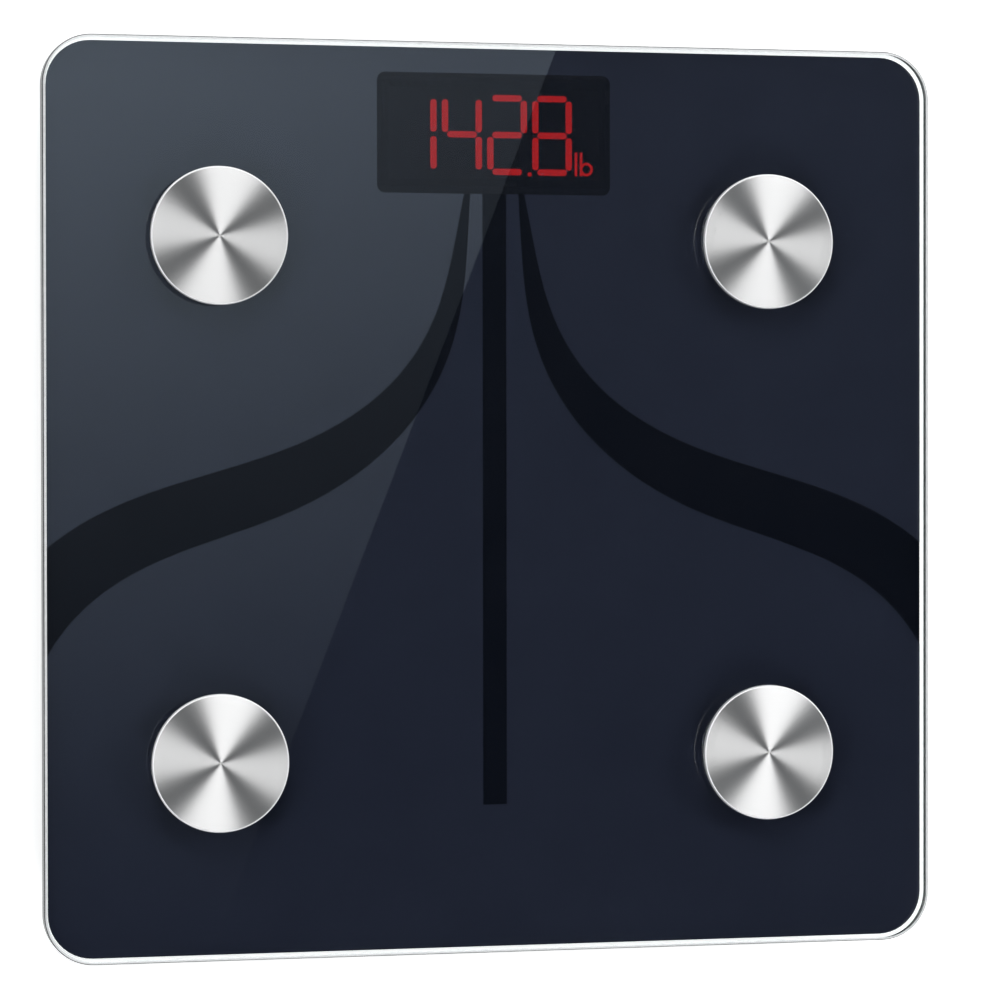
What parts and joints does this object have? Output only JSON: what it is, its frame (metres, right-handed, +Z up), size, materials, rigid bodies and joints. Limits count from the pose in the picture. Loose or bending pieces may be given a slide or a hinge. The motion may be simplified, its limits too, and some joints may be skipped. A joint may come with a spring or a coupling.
{
  "type": "digital bathroom scale",
  "caption": "Square glass-topped electronic bathroom scale with steel body-fat electrodes, a red LED display and load-cell feet.",
  "frame": {"origin": "under the middle of the scale, on the surface its feet stand on", "axes": "+Z up, +Y towards the display end, +X to the right of someone facing the display"},
  "size_m": [0.26, 0.26, 0.0272],
  "materials": {
    "clear_glass": "clear tempered glass, polished edges",
    "navy_print": "navy ink fired on the back of the glass",
    "black_print": "black ink behind the navy",
    "smoked_window": "smoked display window",
    "foam_tape": "black foam tape",
    "tray_plastic": "fine-textured black moulded plastic",
    "spun_steel": "circular spun finish with a bright chamfered rim",
    "gasket_rubber": "soft black rubber",
    "plated_steel": "zinc plated",
    "tinned_brass": "tinned",
    "load_cell_steel": "nickel-plated spring steel",
    "silicone": "white silicone",
    "foot_plastic": "moulded black plastic",
    "foot_rubber": "ribbed anti-slip rubber",
    "board": "green circuit board",
    "chip_plastic": "moulded black epoxy",
    "socket_plastic": "white nylon",
    "display_black": "black light-tight plastic",
    "lit_segment": "translucent, lit red",
    "unlit_segment": "translucent, unlit",
    "battery_can": "plain wrapped dry cell",
    "spring_steel": "nickel plated",
    "lead_red": "PVC insulation",
    "lead_grey": "PVC insulation",
    "button_plastic": "moulded grey plastic"
  },
  "bodies": {
    "platform": {"base_shell": "tray_plastic", "battery_1": "battery_can", "battery_2": "battery_can", "battery_3": "battery_can", "battery_leads": "lead_red", "battery_plates": "spring_steel", "battery_springs": "spring_steel", "board_chips": "chip_plastic", "board_screws": "plated_steel", "bonding_tape": "foam_tape", "display_digits": "lit_segment", "display_gasket": "foam_tape", "display_housing": "display_black", "display_segments_off": "unlit_segment", "display_window": "smoked_window", "electrode_gaskets": "gasket_rubber", "electrode_heel_left": "spun_steel", "electrode_heel_right": "spun_steel", "electrode_lead_heel_left": "lead_grey", "electrode_lead_heel_right": "lead_grey", "electrode_lead_toe_left": "lead_grey", "electrode_lead_toe_right": "lead_grey", "electrode_nuts": "plated_steel", "electrode_terminals": "tinned_brass", "electrode_toe_left": "spun_steel", "electrode_toe_right": "spun_steel", "glass_platform": "clear_glass", "load_cell_heel_left": "load_cell_steel", "load_cell_heel_right": "load_cell_steel", "load_cell_leads_heel_left": "lead_grey", "load_cell_leads_heel_right": "lead_grey", "load_cell_leads_toe_left": "lead_grey", "load_cell_leads_toe_right": "lead_grey", "load_cell_toe_left": "load_cell_steel", "load_cell_toe_right": "load_cell_steel", "main_board": "board", "print_black": "black_print", "print_navy": "navy_print", "strain_gauge_dabs": "silicone", "unit_switch": "chip_plastic", "wire_sockets": "socket_plastic"},
    "battery_door": {"battery_door": "tray_plastic"},
    "unit_button": {"unit_button": "button_plastic", "switch_plunger": "socket_plastic"},
    "foot_toe_left": {"foot_cup_toe_left": "foot_plastic", "foot_rubber_toe_left": "foot_rubber"},
    "foot_toe_right": {"foot_cup_toe_right": "foot_plastic", "foot_rubber_toe_right": "foot_rubber"},
    "foot_heel_left": {"foot_cup_heel_left": "foot_plastic", "foot_rubber_heel_left": "foot_rubber"},
    "foot_heel_right": {"foot_cup_heel_right": "foot_plastic", "foot_rubber_heel_right": "foot_rubber"}
  },
  "joints": [
    {"name": "battery_door_hinge", "type": "hinge", "parent": "platform", "child": "battery_door", "pos_m": [0, -0.0383, 0.0052], "axis": [-1, 0, 0], "range_deg": [0, 85]},
    {"name": "unit_button_press", "type": "slide", "parent": "platform", "child": "unit_button", "axis": [0, 0, 1], "range_m": [0, 0.0005], "stiffness_N_per_m": 3000},
    {"name": "foot_toe_left_travel", "type": "slide", "parent": "platform", "child": "foot_toe_left", "axis": [0, 0, 1], "range_m": [0, 0.0004], "stiffness_N_per_m": 5000, "springref_m": -0.002, "deforming": ["load_cell_toe_left"]},
    {"name": "foot_toe_right_travel", "type": "slide", "parent": "platform", "child": "foot_toe_right", "axis": [0, 0, 1], "range_m": [0, 0.0004], "stiffness_N_per_m": 5000, "springref_m": -0.002, "deforming": ["load_cell_toe_right"]},
    {"name": "foot_heel_left_travel", "type": "slide", "parent": "platform", "child": "foot_heel_left", "axis": [0, 0, 1], "range_m": [0, 0.0004], "stiffness_N_per_m": 5000, "springref_m": -0.002, "deforming": ["load_cell_heel_left"]},
    {"name": "foot_heel_right_travel", "type": "slide", "parent": "platform", "child": "foot_heel_right", "axis": [0, 0, 1], "range_m": [0, 0.0004], "stiffness_N_per_m": 5000, "springref_m": -0.002, "deforming": ["load_cell_heel_right"]}
  ]
}
